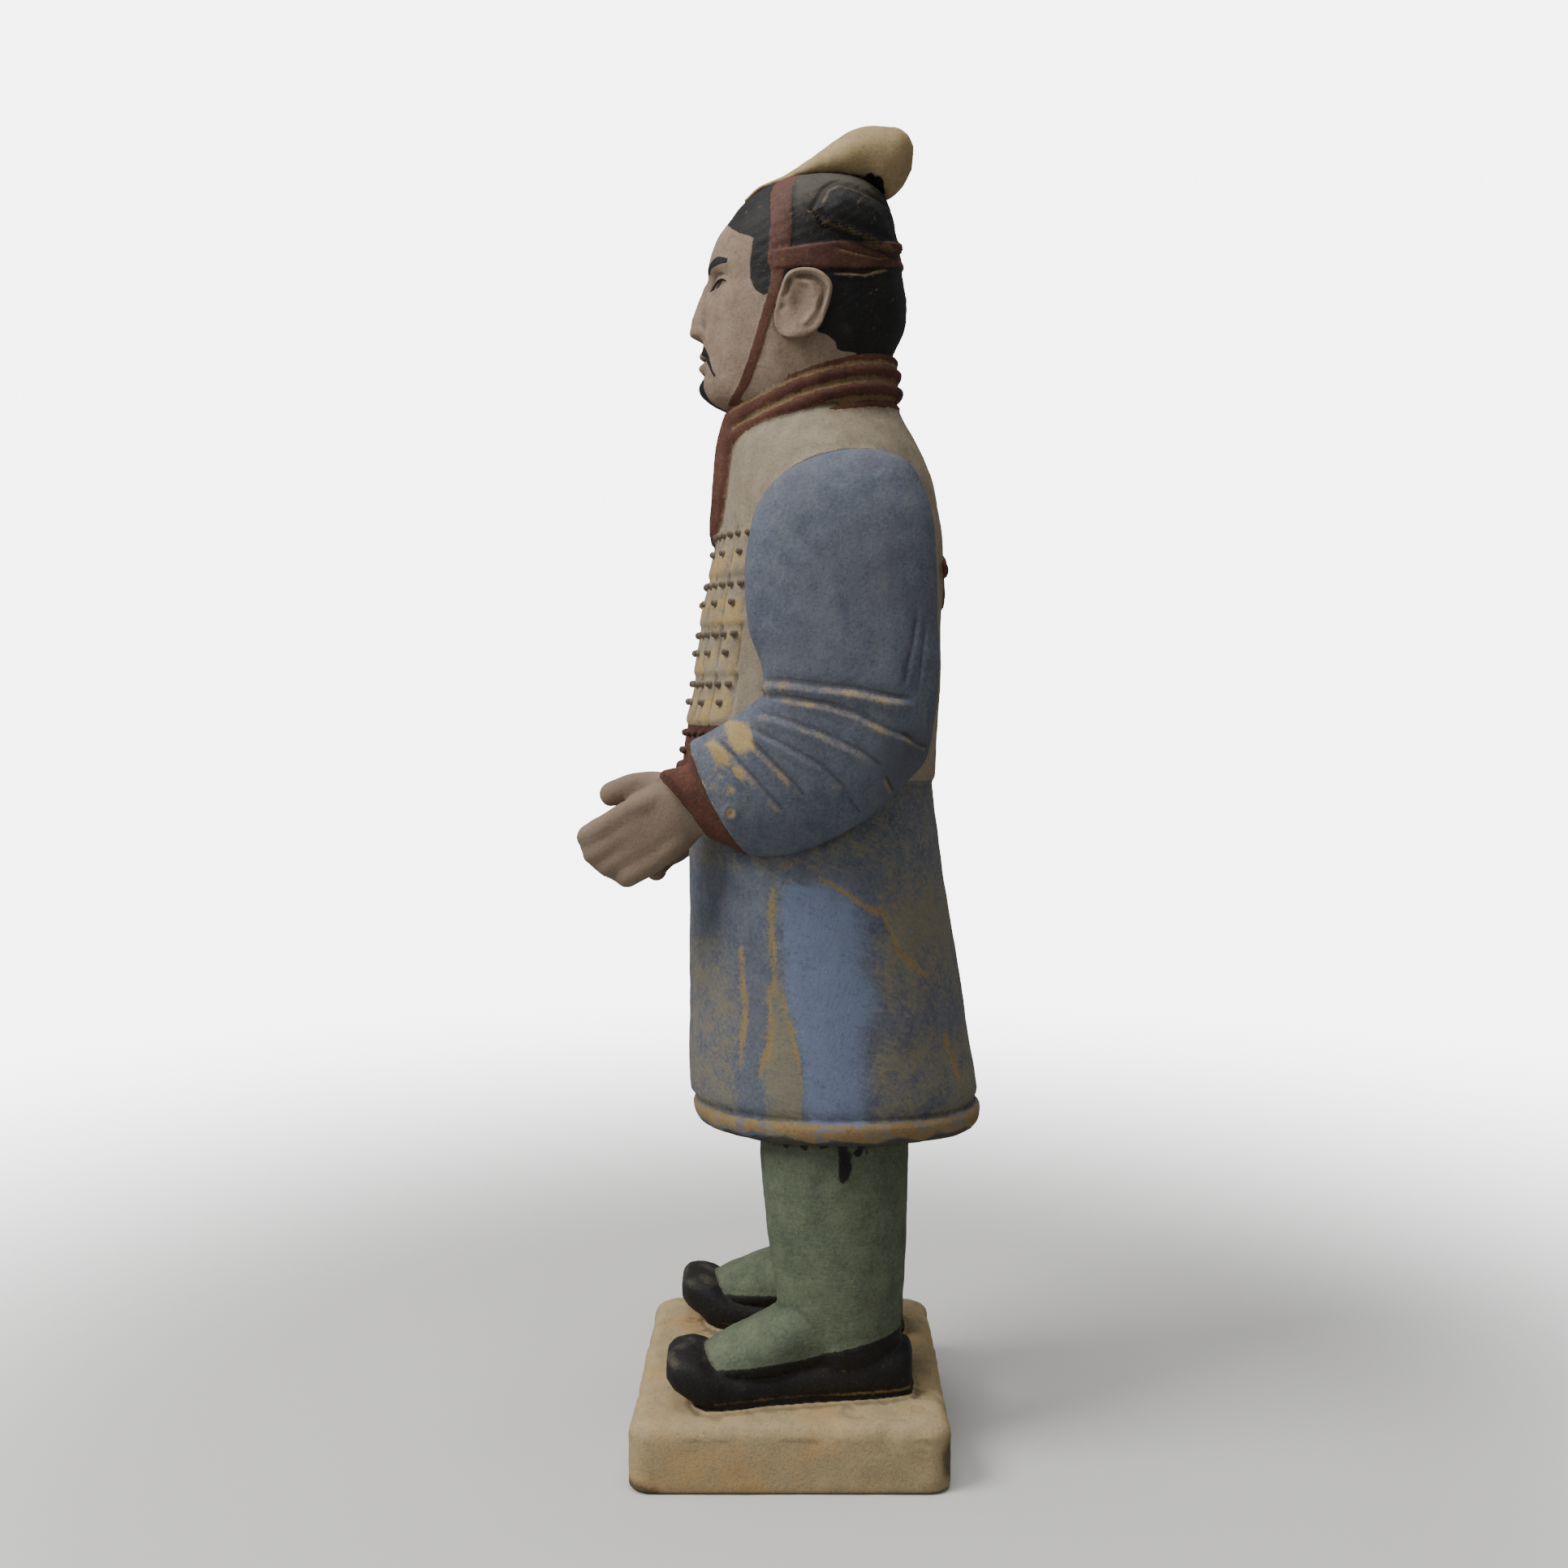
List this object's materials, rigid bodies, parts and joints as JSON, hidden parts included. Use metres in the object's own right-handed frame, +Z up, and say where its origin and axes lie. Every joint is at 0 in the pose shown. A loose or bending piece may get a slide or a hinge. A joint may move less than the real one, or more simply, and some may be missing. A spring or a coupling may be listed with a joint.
{
  "type": "terracotta warrior statue",
  "caption": "Painted fired-clay statue of a standing armoured officer with scarf, cap and knee-length robe, both hands held forward, cast in one with its square plinth.",
  "frame": {"origin": "middle of the plinth's flat underside", "axes": "+Z up, -Y the way the figure faces, +X towards the figure's left hand"},
  "size_m": [0.1356, 0.152, 0.4992],
  "materials": {
    "painted_terracotta": "unglazed fired clay with worn matte paint"
  },
  "bodies": {
    "root": {"warrior_statue": "painted_terracotta"}
  },
  "joints": []
}
